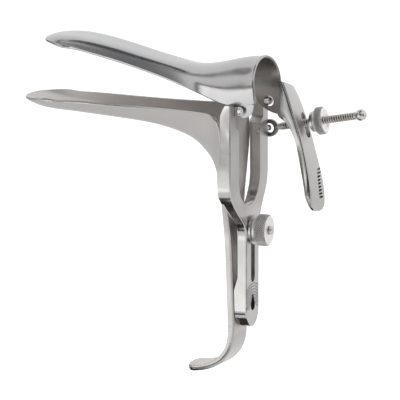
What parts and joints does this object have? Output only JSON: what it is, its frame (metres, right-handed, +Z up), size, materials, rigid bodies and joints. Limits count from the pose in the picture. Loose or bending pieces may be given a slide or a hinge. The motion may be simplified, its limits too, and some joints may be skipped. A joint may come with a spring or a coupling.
{
  "type": "bivalve speculum",
  "caption": "Two-bladed vaginal speculum on a forked sliding frame, with a thumb lever, opening screw and nut, height nut and flat handle with a curled foot.",
  "frame": {"origin": "middle of the upper blade's hinge axis, inside the throat", "axes": "+Z up along the stem, -X along the blades to their tips, +Y towards the thumb lever and its screw"},
  "size_m": [0.1702, 0.0662, 0.1672],
  "materials": {
    "polished_steel": "polished to satin stainless steel",
    "knurled_steel": "matt stainless steel, diamond knurled rims",
    "threaded_steel": "turned stainless steel with a cut thread"
  },
  "bodies": {
    "handle_body": {"lower_blade": "polished_steel", "height_stud": "threaded_steel"},
    "frame_body": {"yoke": "polished_steel", "near_hinge_pin": "polished_steel", "far_hinge_pin": "polished_steel", "eye_rivet": "polished_steel"},
    "upper_body": {"upper_blade": "polished_steel", "thumb_lever": "polished_steel"},
    "eye_bolt_body": {"eye_bolt": "threaded_steel", "ball_end": "polished_steel"},
    "seat_body": {"opening_seat": "knurled_steel"},
    "opening_nut_body": {"opening_nut": "knurled_steel"},
    "washer_body": {"height_washer": "polished_steel"},
    "height_nut_body": {"height_nut": "knurled_steel"}
  },
  "joints": [
    {"name": "height_slide", "type": "slide", "parent": "handle_body", "child": "frame_body", "axis": [0, 0, 1], "range_m": [0, 0.024]},
    {"name": "blade_open", "type": "hinge", "parent": "frame_body", "child": "upper_body", "pos_m": [0, 0, 0], "axis": [0, 1, 0], "range_deg": [-13.5, 18]},
    {"name": "eye_bolt_swing", "type": "hinge", "parent": "frame_body", "child": "eye_bolt_body", "pos_m": [-0.00383, 0.029, -0.01556], "axis": [0, 1, 0], "range_deg": [-9.6, 12.8]},
    {"name": "opening_nut_travel", "type": "slide", "parent": "eye_bolt_body", "child": "seat_body", "axis": [0.9833, 0, 0.1822], "range_m": [-0.00455, 0.00341]},
    {"name": "opening_nut_spin", "type": "hinge", "parent": "seat_body", "child": "opening_nut_body", "pos_m": [0.01884, 0.029, -0.01136], "axis": [0.9833, 0, 0.1822], "range_deg": [-1310, 985]},
    {"name": "height_nut_travel", "type": "slide", "parent": "handle_body", "child": "washer_body", "axis": [1, 0, 0], "range_m": [0, 0.003]},
    {"name": "height_nut_spin", "type": "hinge", "parent": "washer_body", "child": "height_nut_body", "pos_m": [0, 0, -0.06265], "axis": [1, 0, 0], "range_deg": [0, 1350]}
  ],
  "couplings": [
    {"joint": "eye_bolt_swing", "follows": "blade_open", "ratio": 0.71},
    {"joint": "opening_nut_travel", "follows": "blade_open", "m_per_rad": -0.01445},
    {"joint": "opening_nut_spin", "follows": "blade_open", "ratio": -72.634},
    {"joint": "height_nut_travel", "follows": "height_nut_spin", "m_per_rad": 0.00012732}
  ]
}
